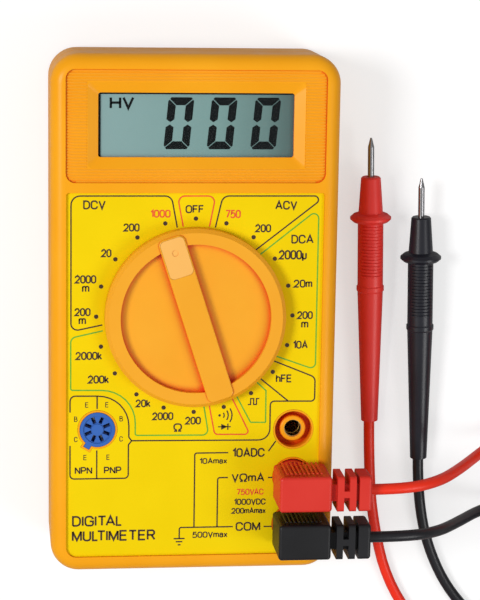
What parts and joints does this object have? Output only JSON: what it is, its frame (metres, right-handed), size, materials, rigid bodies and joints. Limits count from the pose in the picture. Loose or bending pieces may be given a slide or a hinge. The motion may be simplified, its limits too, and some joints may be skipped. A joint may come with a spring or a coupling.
{
  "type": "digital multimeter",
  "caption": "Pocket digital multimeter with a rotary range switch, liquid crystal display, three input jacks, transistor socket and a pair of needle test leads.",
  "frame": {"origin": "centre of the flat back, with the meter lying on its back", "axes": "+Z out of the front face, +Y from the jacks towards the display, +X towards the jacks' side"},
  "size_m": [0.1694, 0.1682, 0.0392],
  "materials": {
    "case_plastic": "satin moulded ABS, orange-yellow",
    "insert_plastic": "paler satin plastic",
    "printed_label": "yellow printed polyester film, satin",
    "clear_window": "clear polished plastic",
    "lcd_glass": "grey-green liquid crystal display",
    "white_plastic": "white moulded plastic",
    "elastomer": "layered silicone",
    "board": "brown phenolic board",
    "epoxy_black": "black epoxy and plastic",
    "resistor_coat": "blue lacquer",
    "capacitor_coat": "brown dipped coat",
    "trimmer_blue": "blue plastic",
    "rotor_white": "white plastic",
    "fuse_glass": "clear glass",
    "nickel": "nickel-plated metal",
    "steel": "bright steel",
    "brass": "machined brass",
    "socket_blue": "blue moulded plastic",
    "battery_case": "printed steel jacket",
    "snap_black": "black vinyl",
    "snap_red": "red vinyl",
    "lead_red": "red soft vinyl, satin",
    "lead_black": "black soft vinyl, satin"
  },
  "bodies": {
    "meter": {"rear_case": "case_plastic", "front_case": "case_plastic", "face_label": "printed_label", "display_window": "clear_window", "lcd_front_glass": "lcd_glass", "lcd_rear_glass": "lcd_glass", "lcd_holder": "white_plastic", "zebra_strip": "elastomer", "circuit_board": "board", "chip_blob": "epoxy_black", "resistors": "resistor_coat", "capacitors": "capacitor_coat", "diode": "epoxy_black", "transistor": "epoxy_black", "buzzer": "epoxy_black", "trimmer_body": "trimmer_blue", "fuse_tube": "fuse_glass", "fuse_caps": "nickel", "fuse_clips": "nickel", "shunt_wire": "nickel", "battery": "battery_case", "battery_terminals": "nickel", "battery_snap": "snap_black", "battery_wire_red": "snap_red", "battery_wire_black": "snap_black", "board_screws": "steel", "case_screws": "steel", "hfe_socket": "socket_blue", "hfe_contacts": "nickel", "jack_10a": "brass", "jack_voltage": "brass", "jack_common": "brass", "red_cord_plug_run": "lead_red", "red_cord_coil": "lead_red", "red_cord_probe_run": "lead_red", "red_probe_handle": "lead_red", "red_probe_needle": "steel", "black_cord_plug_run": "lead_black", "black_cord_coil": "lead_black", "black_cord_probe_run": "lead_black", "black_probe_handle": "lead_black", "black_probe_needle": "steel"},
    "knob": {"range_knob": "case_plastic", "pointer_insert": "insert_plastic", "detent_springs": "steel", "wiper_contacts": "nickel"},
    "ball_front": {"detent_ball_front": "steel"},
    "ball_back": {"detent_ball_back": "steel"},
    "trimmer": {"trimmer_rotor": "rotor_white"},
    "red_plug": {"red_plug_body": "lead_red", "red_strain_relief": "lead_red", "red_plug_pin": "brass"},
    "black_plug": {"black_plug_body": "lead_black", "black_strain_relief": "lead_black", "black_plug_pin": "brass"}
  },
  "joints": [
    {"name": "knob_turn", "type": "hinge", "parent": "meter", "child": "knob", "pos_m": [0, 0.0005, 0], "axis": [0, 0, 1], "continuous": true},
    {"name": "ball_front_press", "type": "slide", "parent": "knob", "child": "ball_front", "axis": [-0.309, 0.9511, 0], "range_m": [0, 0.0004], "stiffness_N_per_m": 300, "springref_m": 0.0015},
    {"name": "ball_back_press", "type": "slide", "parent": "knob", "child": "ball_back", "axis": [0.309, -0.9511, 0], "range_m": [0, 0.0004], "stiffness_N_per_m": 300, "springref_m": 0.0015},
    {"name": "trimmer_turn", "type": "hinge", "parent": "meter", "child": "trimmer", "pos_m": [0.014, -0.008, 0], "axis": [0, 0, 1], "range_deg": [-130, 130]},
    {"name": "red_unplug", "type": "slide", "parent": "meter", "child": "red_plug", "axis": [0, 0, 1], "range_m": [0, 0.018]},
    {"name": "black_unplug", "type": "slide", "parent": "meter", "child": "black_plug", "axis": [0, 0, 1], "range_m": [0, 0.018]}
  ]
}
